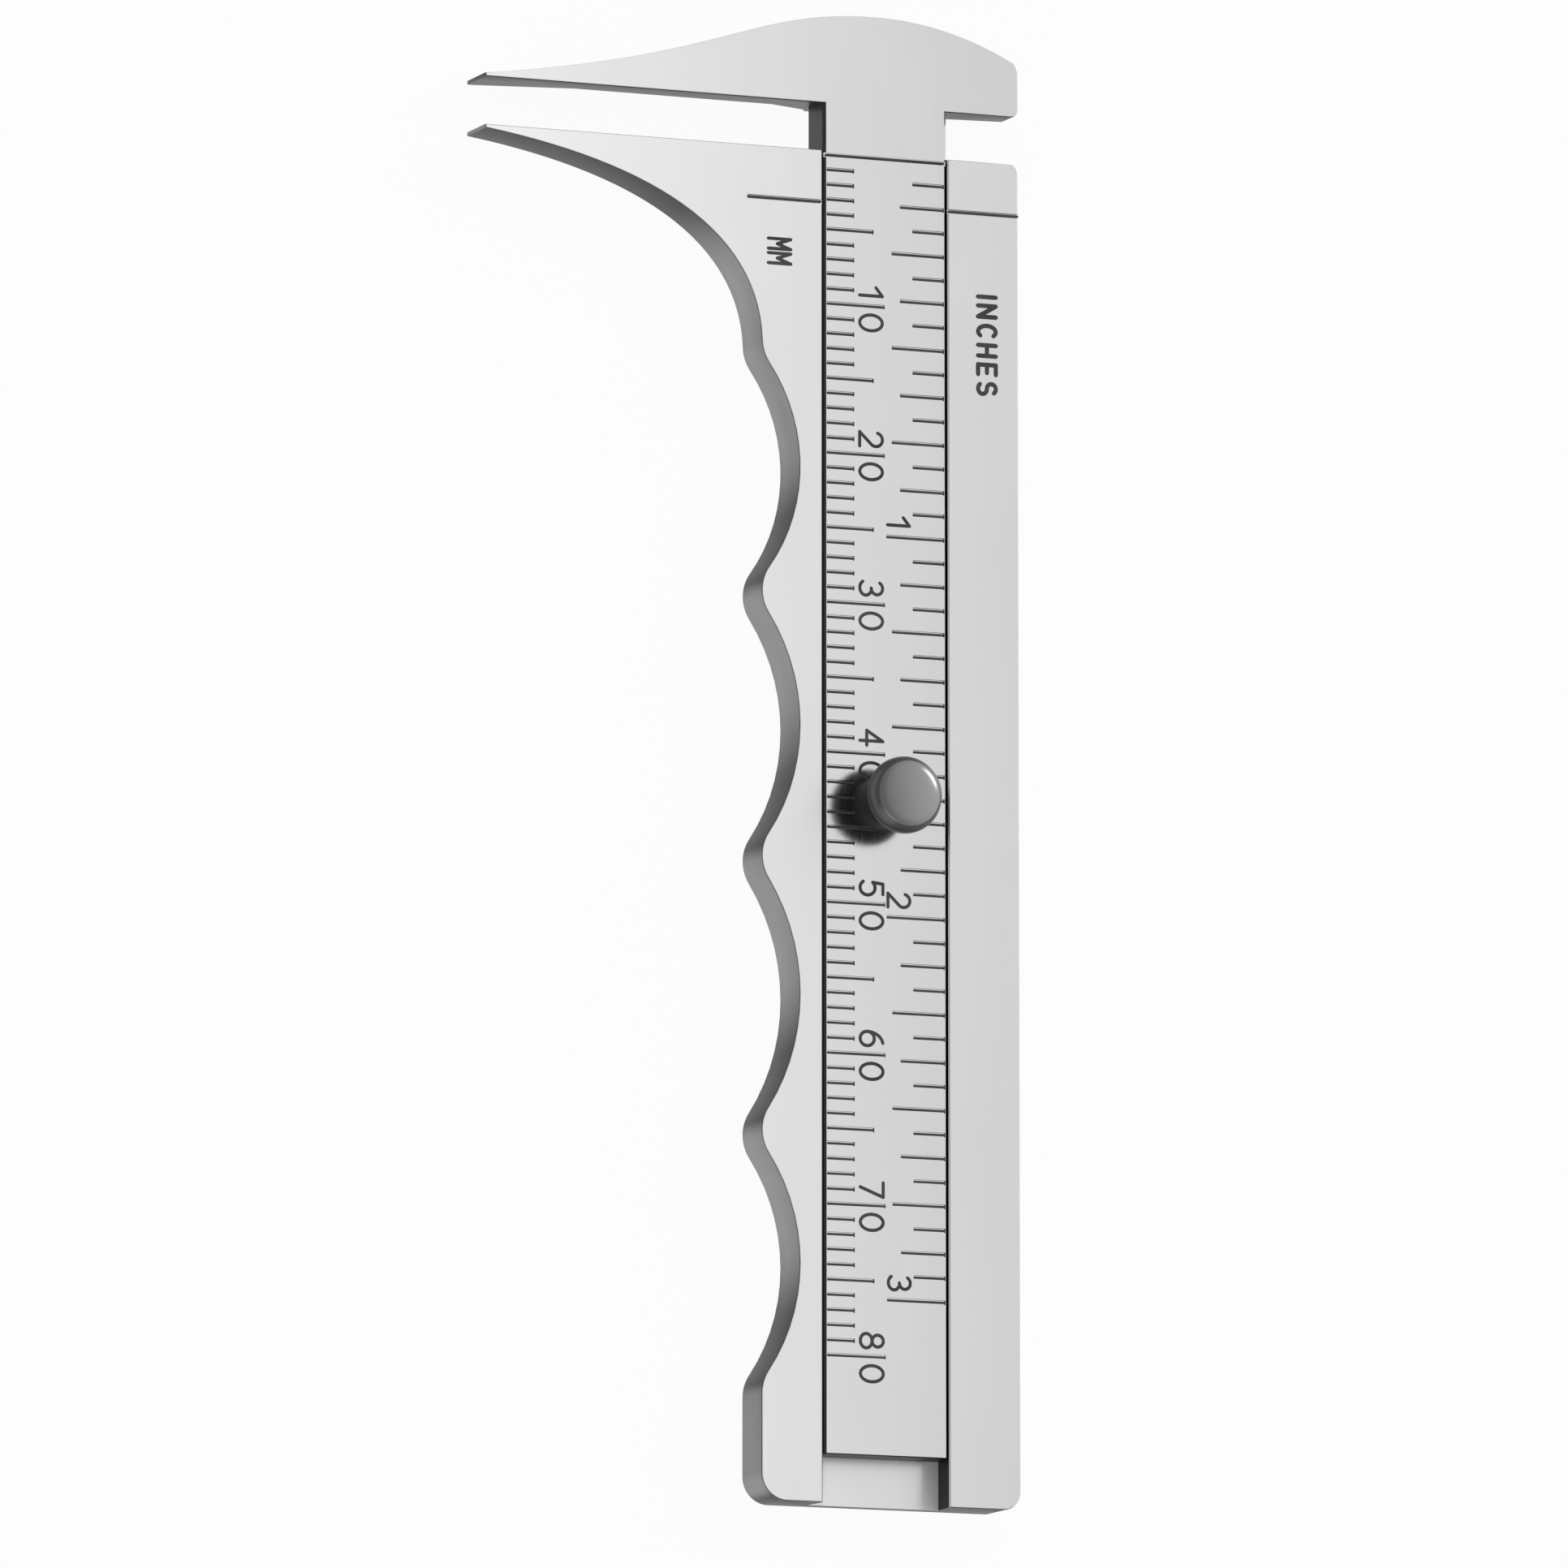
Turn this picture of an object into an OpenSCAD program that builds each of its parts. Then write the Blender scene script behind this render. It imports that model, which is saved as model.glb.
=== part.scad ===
// Surgical caliper: a scalloped stainless body with a fixed jaw, and a graduated
// slide with a moving jaw that runs in a dovetail channel. All sizes are in mm.
// The model is drawn about the channel's centre line (X = 0), the fixed measuring
// face (Y = 0) and the flat back (Z = 0), then moved so that the origin lies
// under the middle of the whole instrument.

/* [Body] */
// Length of the body and of the slide's bar
body_l = 90; // [75:1:120]
// Thickness of the body and of the moving jaw
plate_t = 3.4; // [3.2:0.1:5]
// Width of the plain land on the right of the channel
right_land = 5.1; // [4:0.1:8]
// Width of the grip land, at the crests between the finger hollows
grip_land = 4.35; // [4.2:0.05:7]
// Depth of the finger hollows
grip_depth = 2.7; // [1.5:0.1:3]
// Rounding of the crests between the finger hollows
crest_r = 2.7; // [1:0.1:3]
// Distance from the measuring face to the first crest
first_crest = 13; // [12:0.1:16]
// Width of the index finger's hollow
index_grip_w = 16.8; // [14:0.1:17.5]
// Width of the middle finger's hollow
middle_grip_w = 17.7; // [15:0.1:18.5]
// Width of the ring finger's hollow
ring_grip_w = 18.2; // [15:0.1:19]
// Width of the little finger's hollow
little_grip_w = 17.4; // [14:0.1:18]
// Length of the foot, from the last crest to its end
foot_l = 7; // [5:0.1:12]
// Corner radius at the foot, on the grip side
foot_r = 1.8; // [0.5:0.1:2.5]
// Corner radius at the foot, on the plain side
corner_r = 1.2; // [0.5:0.1:2.5]

/* [Jaws] */
// Reach of both jaws beyond the channel
jaw_reach = 24; // [18:0.5:30]
// Height of both jaw tips
jaw_tip_h = 0.25; // [0.15:0.05:1]
// Slope of the fixed jaw's back at its tip, in degrees
jaw_tip_slope = 7.5; // [4:0.5:16]
// Slope of the fixed jaw's back where it runs into the first crest, in degrees
jaw_root_slope = 88; // [65:1:90]
// Height of the moving jaw at its crown
head_h = 6.05; // [4.5:0.05:8]
// Height of the moving jaw's blunt end
head_end_h = 3.5; // [2:0.1:4]
// Place of the crown, left of the channel's centre line
crown_offset = 0.6; // [0:0.1:3]
// Small corner radius on the blunt ends
end_r = 0.5; // [0.2:0.1:0.8]
// Opening between the jaws
jaw_opening = 3.2; // [0:0.1:20]
// Height of the bevel that narrows the moving measuring face from the back
bevel_h = 1.5; // [0.5:0.1:2]
// Width of that bevel on the back
bevel_w = 0.6; // [0.2:0.1:1]
// Length over which it grows from nothing at the tip
bevel_run = 7; // [3:0.5:12]
// Plain length between the bevel and the bar, on each side
bevel_stop = 0.8; // [0.3:0.1:2]

/* [Slide] */
// Width of the channel at the face
channel_w = 9; // [8.8:0.1:14]
// Thickness of the slide's bar
bar_t = 2.2; // [1.8:0.1:2.5]
// Widening of the dovetail on each side, from the face to the bar's back
undercut = 0.15; // [0.1:0.05:0.5]
// Running clearance on each side of the bar
side_gap = 0.05; // [0.02:0.01:0.09]
// Running clearance under the bar
floor_gap = 0.05; // [0.02:0.01:0.1]
// Bevel on the bar's and the channel's long edges
edge_break = 0.2; // [0.05:0.01:0.25]

/* [Graduation] */
// Distance from each measuring face to its zero line
zero_offset = 3.5; // [2:0.1:5]
// Least plain length of the bar past its last line
tail_l = 6; // [4:0.1:9]
// Width of an engraved line
line_w = 0.22; // [0.15:0.01:0.3]
// Width of the zero line and of the index lines
bold_line_w = 0.28; // [0.15:0.01:0.4]
// Depth of an engraved line
line_d = 0.15; // [0.1:0.01:0.3]
// Level of the black fill below the face
fill_sink = 0.02; // [0.01:0.01:0.05]
// Length of a one-millimetre line
mm_line = 2.2; // [1.5:0.1:3]
// Length of a five-millimetre line
five_line = 3.6; // [2:0.1:4]
// Length of a ten-millimetre line
ten_line = 4.4; // [3:0.1:4.4]
// Length of a sixteenth-inch line
sixteenth_line = 2.5; // [1.5:0.1:3]
// Length of an eighth-inch line
eighth_line = 3.4; // [2:0.1:4]
// Length of a quarter-inch line
quarter_line = 4; // [2:0.1:4.2]
// Length of a whole-inch line
inch_line = 4.4; // [3:0.1:4.4]
// Length of the index line on the grip land
index_line = 5.4; // [3:0.1:8]

/* [Thumb knob] */
// Distance from the moving measuring face to the knob's axis
knob_at = 46.6; // [40:0.1:50]
// Diameter of the knob's button
knob_d = 5.1; // [4.2:0.1:7]
// Height of the button's rim
knob_rim_h = 1.2; // [0.8:0.1:2]
// Rise of the button's domed top above its rim
knob_dome_h = 0.4; // [0.2:0.05:0.8]
// Height of the knob above the slide's face
knob_h = 4.4; // [3.5:0.1:7]
// Diameter of the knob's stem
stem_d = 3.4; // [3:0.1:4]
// Diameter of the shank through the slide
shank_d = 2; // [1.5:0.1:2.4]
// Diameter of the shank's riveted end
rivet_d = 2.8; // [2.6:0.1:3.2]
// Thickness of the shank's riveted end
rivet_t = 0.2; // [0.1:0.05:0.25]

/* [Drag spring] */
// Length of the leaf spring
spring_l = 20; // [12:1:30]
// Width of the leaf spring
spring_w = 4; // [3.6:0.1:4.2]
// Thickness of the leaf spring
spring_t = 0.2; // [0.15:0.01:0.25]
// Length of the leaf's flat middle, under the knob
spring_flat = 5; // [4:0.5:8]
// Clearance between the leaf's toes and the channel's floor
spring_gap = 0.03; // [0.02:0.01:0.05]
// Depth of the leaf's pocket in the bar's back
pocket_d = 0.6; // [0.5:0.05:0.7]
// Clearance round the leaf in its pocket
pocket_gap = 0.15; // [0.1:0.05:0.2]

/* [Stop pin] */
// Diameter of the stop pin
pin_d = 1; // [0.8:0.05:1.1]
// Distance from the fixed measuring face to the stop pin
pin_inset = 6; // [4:0.1:7]
// Distance from the channel's right edge to the stop pin
pin_edge = 1.1; // [1:0.05:1.2]
// Rise of the stop pin above the channel's floor
pin_rise = 0.5; // [0.3:0.05:0.6]
// Depth of the stop pin's groove in the bar's back
groove_d = 0.7; // [0.7:0.05:0.8]
// Clearance on each side of the pin in its groove
groove_gap = 0.12; // [0.05:0.01:0.15]
// Play left at each end of the slide's travel
end_play = 0.3; // [0.1:0.05:0.5]
// Clearance of the pressed pin and of the shank in their holes
press_gap = 0.01; // [0.005:0.005:0.02]

/* [Hidden] */
$fn = 96;

// The scale's units, and how far a cutting solid passes the face that it cuts
millimetre = 1;
centimetre = 10 * millimetre;
inch = 25.4 * millimetre;
past = 1;

// The bar carries as many whole centimetres as fit on it, and as many whole inches
// as fit beside them
scale_l = centimetre * floor((body_l - zero_offset - tail_l) / centimetre);
mm_count = scale_l / millimetre;
sixteenth_count = 16 * floor(scale_l / inch);

// Channel and plan of the body
channel_half = channel_w / 2;
right_x = channel_half + right_land;
crest_x = -channel_half - grip_land;
tip_x = -channel_half - jaw_reach;
pin_x = channel_half - pin_edge;

// The finger hollows fill the run from the first crest to the foot, so a body of
// another length draws them all out or in alike
finger_w = [index_grip_w, middle_grip_w, ring_grip_w, little_grip_w];
grip_count = len(finger_w);
grip_run = body_l - first_crest - foot_l;
grips = finger_w * grip_run / (finger_w * [1, 1, 1, 1]);

// How far the fixed jaw's back is pulled along its slopes at tip and root
jaw_tip_pull = 0.58;
jaw_root_pull = 0.59;

// Plan of the moving jaw: the dome's radius follows from its crown and its end
crown_x = -crown_offset;
crown_tip_slope = 7.5;
crown_tip_pull = 0.63;
crown_pull = 0.32;
dome_run = right_x - crown_x;
dome_drop = head_h - head_end_h;
dome_r = (pow(dome_run, 2) + pow(dome_drop, 2)) / (2 * dome_drop);

// Bar, its back and the channel's floor
bar_half = channel_half - side_gap;
bar_back = plate_t - bar_t;
floor_z = bar_back - floor_gap;
fill_top = plate_t - fill_sink;
line_floor = plate_t - line_d;
pocket_roof = bar_back + pocket_d;
bar_face_half = bar_half - edge_break;

// Middle of the whole instrument, which the origin lies under
middle_x = (tip_x + right_x) / 2;
middle_y = (jaw_opening + head_h - body_l) / 2;

function polar(r, a) = [r * cos(a), r * sin(a)];

// Points along an arc, about one every 5 degrees
function arc(c, r, a0, a1) =
    let (n = max(3, ceil(abs(a1 - a0) / 5)))
    [for (i = [0:n]) c + polar(r, a0 + (a1 - a0) * i / n)];

// Points along a cubic curve from p0 to p3, pulled towards p1 and p2
function curve(p0, p1, p2, p3, n = 28) =
    [for (i = [0:n]) let (t = i / n, s = 1 - t)
        s * s * s * p0 + 3 * s * s * t * p1 + 3 * s * t * t * p2 + t * t * t * p3];

// Each crest and hollow are circles that touch, so one hollow's width and depth
// give the sum of their radii, and the angle at which they touch
function grip_sum(n) = n == 0 ? 0 : grips[n - 1] + grip_sum(n - 1);
function crest(i) = [crest_x + crest_r, -first_crest - grip_sum(i)];
function radii(i) = (pow(grips[i] / 2, 2) + pow(grip_depth, 2)) / (2 * grip_depth);
function touch(i) = atan2(grips[i] / 2, radii(i) - grip_depth);
function hollow(i) = [crest_x + grip_depth + crest_r - radii(i),
                      (crest(i).y + crest(i + 1).y) / 2];
function grip(i) = concat(
    arc(crest(i), crest_r, i == 0 ? 270 - jaw_root_slope : 180 - touch(i - 1), 180 + touch(i)),
    arc(hollow(i), radii(i) - crest_r, touch(i), -touch(i)));

// The fixed jaw's back sweeps from the tip into the first crest
jaw_root = crest(0) + polar(crest_r, 270 - jaw_root_slope);
jaw_toe = [tip_x, -jaw_tip_h];
jaw_back = curve(
    jaw_toe,
    jaw_toe + polar(jaw_tip_pull * (jaw_root.x - tip_x), -jaw_tip_slope),
    jaw_root + polar(jaw_root_pull * (jaw_toe.y - jaw_root.y), 180 - jaw_root_slope),
    jaw_root);

body_plan = concat(
    jaw_back,
    [for (i = [0:grip_count - 1]) each grip(i)],
    arc(crest(grip_count), crest_r, 180 - touch(grip_count - 1), 180),
    arc([crest_x + foot_r, foot_r - body_l], foot_r, 180, 270),
    arc([right_x - corner_r, corner_r - body_l], corner_r, 270, 360),
    arc([right_x - end_r, -end_r], end_r, 0, 90),
    [[tip_x, 0]]);

// The moving jaw rises from its tip to the crown, and the dome falls to the end,
// whose corner is rounded where the dome meets it
dome_c = [crown_x, head_h - dome_r];
end_c = [right_x - end_r,
         dome_c.y + sqrt(pow(dome_r - end_r, 2) - pow(right_x - end_r - crown_x, 2))];
end_a = atan2(end_c.y - dome_c.y, end_c.x - dome_c.x);
jaw_top = [tip_x, jaw_tip_h];
head_plan = concat(
    [[tip_x, 0]],
    arc([right_x - end_r, end_r], end_r, 270, 360),
    arc(end_c, end_r, 0, end_a),
    arc(dome_c, dome_r, end_a, 90),
    curve(
        [crown_x, head_h],
        [crown_x - crown_pull * (crown_x - tip_x), head_h],
        jaw_top + polar(crown_tip_pull * (crown_x - tip_x), crown_tip_slope),
        jaw_top));

// Puts a piece of the body into the instrument's frame
module on_body() {
    translate([-middle_x, -middle_y, 0]) children();
}

// Puts a piece of the slide there, where Y = 0 is the moving measuring face
module on_slide() {
    on_body() translate([0, jaw_opening, 0]) children();
}

// Draws a cross-section, X across and Z up, and runs it from y0 down to y1
module along(y0, y1) {
    translate([0, y0, 0]) rotate([90, 0, 0]) linear_extrude(y0 - y1) children();
}

// Cross-section of the dovetail: half its width at the face, and its depth.
// The bevel cuts into the bar, or out of the channel's edge.
module dovetail(half, depth, bevel, top) {
    polygon([
        [-half - undercut, plate_t - depth],
        [half + undercut, plate_t - depth],
        [half, plate_t - edge_break],
        [half + bevel, plate_t],
        [half + bevel, top],
        [-half - bevel, top],
        [-half - bevel, plate_t],
        [-half, plate_t - edge_break]]);
}

// One line across the instrument, from x0 to x1, between two levels
module line(x0, x1, y, w, z0, z1) {
    translate([x0, y - w / 2, z0]) cube([x1 - x0, w, z1 - z0]);
}

function mm_length(i) = i % 10 == 0 ? ten_line : i % 5 == 0 ? five_line : mm_line;

function inch_length(i) =
    i % 16 == 0 ? inch_line
    : i % 4 == 0 ? quarter_line
    : i % 2 == 0 ? eighth_line : sixteenth_line;

// The metric lines start at the bar's left edge, and the zero line spans the bar.
// Half is how far out they reach, so a cut runs off the edge and the fill doesn't.
module metric_lines(half, z0, z1) {
    line(-half, half, -zero_offset, bold_line_w, z0, z1);
    for (i = [1:mm_count])
        line(-half, mm_length(i) - bar_half, -zero_offset - i * millimetre, line_w, z0, z1);
}

// The inch lines start at the bar's right edge
module inch_lines(half, z0, z1) {
    for (i = [1:sixteenth_count])
        line(bar_half - inch_length(i), half, -zero_offset - i * inch / 16, line_w, z0, z1);
}

// The index lines stand on both lands, one zero offset from the fixed face
module index_lines(inner, outer, z0, z1) {
    line(-channel_half - index_line, -inner, -zero_offset, bold_line_w, z0, z1);
    line(inner, outer, -zero_offset, bold_line_w, z0, z1);
}

module body() {
    color("Gainsboro") on_body() difference() {
        linear_extrude(plate_t) polygon(body_plan);
        along(past, -body_l - past)
            dovetail(channel_half, bar_t + floor_gap, edge_break, plate_t + past);
        translate([pin_x, -pin_inset, -past])
            cylinder(d = pin_d + 2 * press_gap, h = plate_t + past);
        index_lines(channel_half - past, right_x + past, line_floor, plate_t + past);
    }
}

module slide() {
    color("Silver") on_slide() difference() {
        union() {
            linear_extrude(plate_t) polygon(head_plan);
            intersection() {
                along(head_end_h / 2, -body_l)
                    dovetail(bar_half, bar_t, -edge_break, plate_t);
                translate([-right_x, -body_l, 0]) cube([2 * right_x, body_l + past, plate_t]);
            }
        }
        jaw_bevel();
        metric_lines(bar_half + past, line_floor, plate_t + past);
        inch_lines(bar_half + past, line_floor, plate_t + past);
        translate([0, -knob_at, 0])
            cylinder(d = shank_d + 2 * press_gap, h = plate_t + past);
        spring_pocket();
        stop_groove();
    }
}

// Bevel behind the moving measuring face, on both sides of the bar. Past the bar
// it is plain, and towards the tip a turned copy of the same slope lets it run out.
module jaw_bevel() {
    reach = jaw_reach - bevel_stop;
    intersection() {
        translate([tip_x - past, 0, 0]) leaning_cut(bevel_w, reach + past);
        translate([tip_x, 0, 0]) rotate(atan(bevel_w / bevel_run))
            translate([-past, 0, 0]) leaning_cut(0, 2 * jaw_reach);
    }
    translate([channel_half + bevel_stop, 0, 0]) leaning_cut(bevel_w, right_land);
}

// Cuts along X below a slope that leaves the back at Y = w and leans to the face
module leaning_cut(w, length) {
    lean = bevel_w / bevel_h;
    rotate([90, 0, 90]) linear_extrude(length)
        polygon([
            [w + lean * past, -past],
            [w - lean * plate_t, plate_t],
            [-jaw_reach, plate_t],
            [-jaw_reach, -past]]);
}

// Pocket for the leaf in the bar's back, centred under the knob
module spring_pocket() {
    half_w = spring_w / 2 + pocket_gap;
    half_l = spring_l / 2 + pocket_gap;
    translate([-half_w, -knob_at - half_l, bar_back - past])
        cube([2 * half_w, 2 * half_l, pocket_d + past]);
}

// Groove in the bar's back that the stop pin rides in. It is as long as the scale,
// so the pin stops the slide just past zero and just past the last line.
module stop_groove() {
    half_w = pin_d / 2 + groove_gap;
    y0 = -pin_inset + pin_d / 2 + end_play;
    y1 = -pin_inset - scale_l - pin_d / 2 - end_play;
    translate([pin_x - half_w, y1, bar_back - past])
        cube([2 * half_w, y0 - y1, groove_d + past]);
}

// Turned button on a stem. Its shank goes through the slide and the leaf, and is
// riveted over under the leaf.
module thumb_knob() {
    rim_r = knob_d / 2;
    top = plate_t + knob_h;
    shoulder = top - knob_dome_h;
    button = shoulder - knob_rim_h;
    rivet_top = pocket_roof - spring_t - press_gap;
    dome_ball = (pow(rim_r, 2) + pow(knob_dome_h, 2)) / (2 * knob_dome_h);
    color("WhiteSmoke") on_slide() translate([0, -knob_at, 0]) rotate_extrude()
        polygon(concat(
            [[0, rivet_top - rivet_t],
             [rivet_d / 2, rivet_top - rivet_t],
             [rivet_d / 2, rivet_top],
             [shank_d / 2, rivet_top],
             [shank_d / 2, plate_t],
             [stem_d / 2, plate_t],
             [stem_d / 2, button],
             [rim_r, button]],
            arc([0, top - dome_ball], dome_ball, asin((shoulder - top + dome_ball) / dome_ball), 90)));
}

// Leaf with a flat middle, clamped by the knob's shank, and two legs that lean
// down to the channel's floor and hold the slide where it is put
module drag_spring() {
    toe = floor_z + spring_gap;
    root = pocket_roof - spring_t;
    color("SlateGray") on_slide() translate([0, -knob_at, 0]) difference() {
        rotate([90, 0, 90]) translate([0, 0, -spring_w / 2]) linear_extrude(spring_w)
            polygon([
                [-spring_l / 2, toe],
                [-spring_flat / 2, root],
                [spring_flat / 2, root],
                [spring_l / 2, toe],
                [spring_l / 2, toe + spring_t],
                [spring_flat / 2, pocket_roof],
                [-spring_flat / 2, pocket_roof],
                [-spring_l / 2, toe + spring_t]]);
        cylinder(d = shank_d + 2 * press_gap, h = plate_t);
    }
}

// Pin pressed into the channel's floor from the back, and flush with it
module stop_pin() {
    color("Gray") on_body() translate([pin_x, -pin_inset, 0])
        cylinder(d = pin_d, h = floor_z + pin_rise);
}

module millimetre_marks() {
    color("Black") on_slide() metric_lines(bar_face_half, line_floor, fill_top);
}

module inch_marks() {
    color("Black") on_slide() inch_lines(bar_face_half, line_floor, fill_top);
}

module index_marks() {
    color("Black") on_body()
        index_lines(channel_half + edge_break, right_x, line_floor, fill_top);
}

body();
slide();
thumb_knob();
drag_spring();
stop_pin();
millimetre_marks();
inch_marks();
index_marks();
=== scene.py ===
# Surgical caliper: the looks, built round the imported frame.
# Pieces are drawn in millimetres about the channel's centre line, the measuring face
# and the flat back, as the part's source does, and then moved into the frame in metres.
import math

import bmesh
import bpy
from mathutils import Matrix, Vector


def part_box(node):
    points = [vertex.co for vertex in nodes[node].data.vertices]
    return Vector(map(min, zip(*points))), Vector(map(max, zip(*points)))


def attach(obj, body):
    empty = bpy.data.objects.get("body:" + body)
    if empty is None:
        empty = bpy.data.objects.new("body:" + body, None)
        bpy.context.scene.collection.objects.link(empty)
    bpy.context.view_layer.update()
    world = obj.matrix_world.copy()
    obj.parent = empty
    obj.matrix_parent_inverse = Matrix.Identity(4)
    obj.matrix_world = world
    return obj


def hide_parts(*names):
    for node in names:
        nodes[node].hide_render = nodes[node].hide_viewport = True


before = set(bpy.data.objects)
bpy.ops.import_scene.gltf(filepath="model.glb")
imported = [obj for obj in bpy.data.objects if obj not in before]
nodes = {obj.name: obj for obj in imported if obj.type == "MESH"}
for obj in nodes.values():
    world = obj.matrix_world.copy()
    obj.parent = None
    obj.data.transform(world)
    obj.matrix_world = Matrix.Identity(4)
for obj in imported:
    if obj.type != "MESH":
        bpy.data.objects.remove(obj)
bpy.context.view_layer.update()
mm = 0.001
past = 1         # mm that a cutter runs past the face that it cuts
inchLong = 25.4  # mm

# Where the frame puts the channel's centre line and the two measuring faces
bodyBox, slideBox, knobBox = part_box("body"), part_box("slide"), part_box("thumb_knob")
channelX = (knobBox[0].x + knobBox[1].x) / 2
fixedFaceY = bodyBox[1].y
movingFaceY = slideBox[0].y + bodyBox[1].y - bodyBox[0].y
thick = bodyBox[1].z / mm
bodyPlace = Matrix.Translation((channelX, fixedFaceY, 0)) @ Matrix.Scale(mm, 4)
slidePlace = Matrix.Translation((channelX, movingFaceY, 0)) @ Matrix.Scale(mm, 4)
knobDrop = (movingFaceY - (knobBox[0].y + knobBox[1].y) / 2) / mm


def newPiece(name, points, faces):
    mesh = bpy.data.meshes.new(name)
    mesh.from_pydata([tuple(p) for p in points], [], faces)
    mesh.update()
    piece = bpy.data.objects.new(name, mesh)
    bpy.context.scene.collection.objects.link(piece)
    return piece


# Turns what the modifiers give into the piece's own plain mesh
def settle(piece):
    depsgraph = bpy.context.evaluated_depsgraph_get()
    mesh = bpy.data.meshes.new_from_object(piece.evaluated_get(depsgraph))
    piece.modifiers.clear()
    piece.data = mesh
    return piece


# Cuts, joins or keeps what two pieces share, and throws the tool away
def carve(piece, tool, operation="DIFFERENCE", overlaps=False):
    step = piece.modifiers.new("carve", "BOOLEAN")
    step.operation = operation
    step.solver = "EXACT"
    step.use_self = overlaps
    step.object = tool
    settle(piece)
    bpy.data.objects.remove(tool)
    return piece


# Faces between rings that all have as many points, with both ends closed
def ringFaces(rings, perRing, closedPath=False):
    faces = []
    for r in range(rings if closedPath else rings - 1):
        a, b = r * perRing, (r + 1) % rings * perRing
        for i in range(perRing):
            j = (i + 1) % perRing
            faces.append((a + i, a + j, b + j, b + i))
    if not closedPath:
        faces.append(tuple(range(perRing))[::-1])
        faces.append(tuple((rings - 1) * perRing + i for i in range(perRing)))
    return faces


# Moves a closed loop's points inwards, along the bisector at each corner. At a corner
# sharper than that share the point goes no further.
def insetLoop(loop, distance, sharpest=0.35):
    moved = []
    for i, point in enumerate(loop):
        before = (point - loop[i - 1]).normalized()
        after = (loop[(i + 1) % len(loop)] - point).normalized()
        inward = Vector((-before.y - after.y, before.x + after.x)).normalized()
        spread = max(sharpest, inward.dot(Vector((-before.y, before.x))))
        moved.append(point + inward * (distance / spread))
    return moved


# The outline of a CAD node's flat back, in millimetres, taken anticlockwise. Corners
# nearer than same are one, and one nearer to the ground than level lies on it, in metres.
def backOutline(node, place, same=2e-6, level=1e-6):
    work = bmesh.new()
    work.from_mesh(nodes[node].data)
    bmesh.ops.remove_doubles(work, verts=work.verts, dist=same)
    flat = {f for f in work.faces if all(abs(v.co.z) < level for v in f.verts)}
    rim = [e for e in work.edges if sum(f in flat for f in e.link_faces) == 1]
    nextTo = {}
    for edge in rim:
        v, w = edge.verts
        nextTo.setdefault(v, []).append(w)
        nextTo.setdefault(w, []).append(v)
    loops, left = [], dict.fromkeys(nextTo)      # in order, so each run starts alike
    while left:
        start = left.popitem()[0]
        loop, here = [start], nextTo[start][0]
        while here is not start:
            left.pop(here, None)
            onward = [v for v in nextTo[here] if v is not loop[-1]]
            loop.append(here)
            here = onward[0]
        loops.append([(place.inverted() @ v.co).to_2d() for v in loop])
    work.free()
    loop = max(loops, key=len)
    area = sum(loop[i - 1].cross(p) for i, p in enumerate(loop))
    return loop if area > 0 else loop[::-1]


# A plate of that outline with both rims rounded
def plate(name, loop, rim, steps):
    turn = [math.pi / 2 * i / steps for i in range(steps + 1)]
    levels = [(rim * (1 - math.sin(a)), rim * (1 - math.cos(a))) for a in reversed(turn)]
    levels += [(thick - z, inset) for z, inset in reversed(levels)]
    points = []
    for z, inset in levels:
        points += [(p.x, p.y, z) for p in insetLoop(loop, inset)]
    return newPiece(name, points, ringFaces(len(levels), len(loop)))


# A cross-section, X across and Z up, taken anticlockwise and run from y0 up to y1
def bar(name, section, y0, y1, endBevel=0.0):
    loop = [Vector(p) for p in section]
    stops = [(y0, endBevel), (y0 + endBevel, 0), (y1, 0)] if endBevel else [(y0, 0), (y1, 0)]
    points = []
    for y, inset in stops:
        points += [(p.x, y, p.y) for p in insetLoop(loop, inset)]
    faces = [face[::-1] for face in ringFaces(len(stops), len(loop))]
    return newPiece(name, points, faces)


def block(name, low, high):
    corners = [(low[0], low[2]), (high[0], low[2]), (high[0], high[2]), (low[0], high[2])]
    return bar(name, corners, low[1], high[1])


# Turns a profile of (radius, height) points about the vertical through centre
def turned(name, profile, centre, around):
    points, rings = [], []
    for radius, height in profile:
        if radius == 0:
            rings.append([len(points)])
            points.append((centre[0], centre[1], height))
            continue
        rings.append(list(range(len(points), len(points) + around)))
        for i in range(around):
            a = 2 * math.pi * i / around
            points.append((centre[0] + radius * math.cos(a),
                           centre[1] + radius * math.sin(a), height))
    faces = []
    for low, high in zip(rings, rings[1:]):
        for i in range(around):
            j = (i + 1) % around
            corners = [low[i % len(low)], low[j % len(low)],
                       high[j % len(high)], high[i % len(high)]]
            faces.append(tuple(dict.fromkeys(corners)))
    return newPiece(name, points, faces)


# A round hole's cutter, from below the part up to a level
def drill(name, radius, top, centre, around):
    return turned(name, [(0, -past), (radius, -past), (radius, top), (0, top)], centre, around)


# Quarter-round points of a profile, from angle a0 to a1 in degrees
def rounding(centre, radius, a0, a1, steps):
    angles = [math.radians(a0 + (a1 - a0) * i / steps) for i in range(steps + 1)]
    return [(centre[0] + radius * math.cos(a), centre[1] + radius * math.sin(a))
            for a in angles]


shading = dict(
    tiny=1e-4,        # mm, below which an edge that a cut left is dissolved
    crease=38,        # degrees of turn past which an edge stays crisp
    flatCrease=1,     # and where one side of it is a flat that looks up or down
    flatUp=0.9995,    # least upward share of a flat's normal
)


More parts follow.
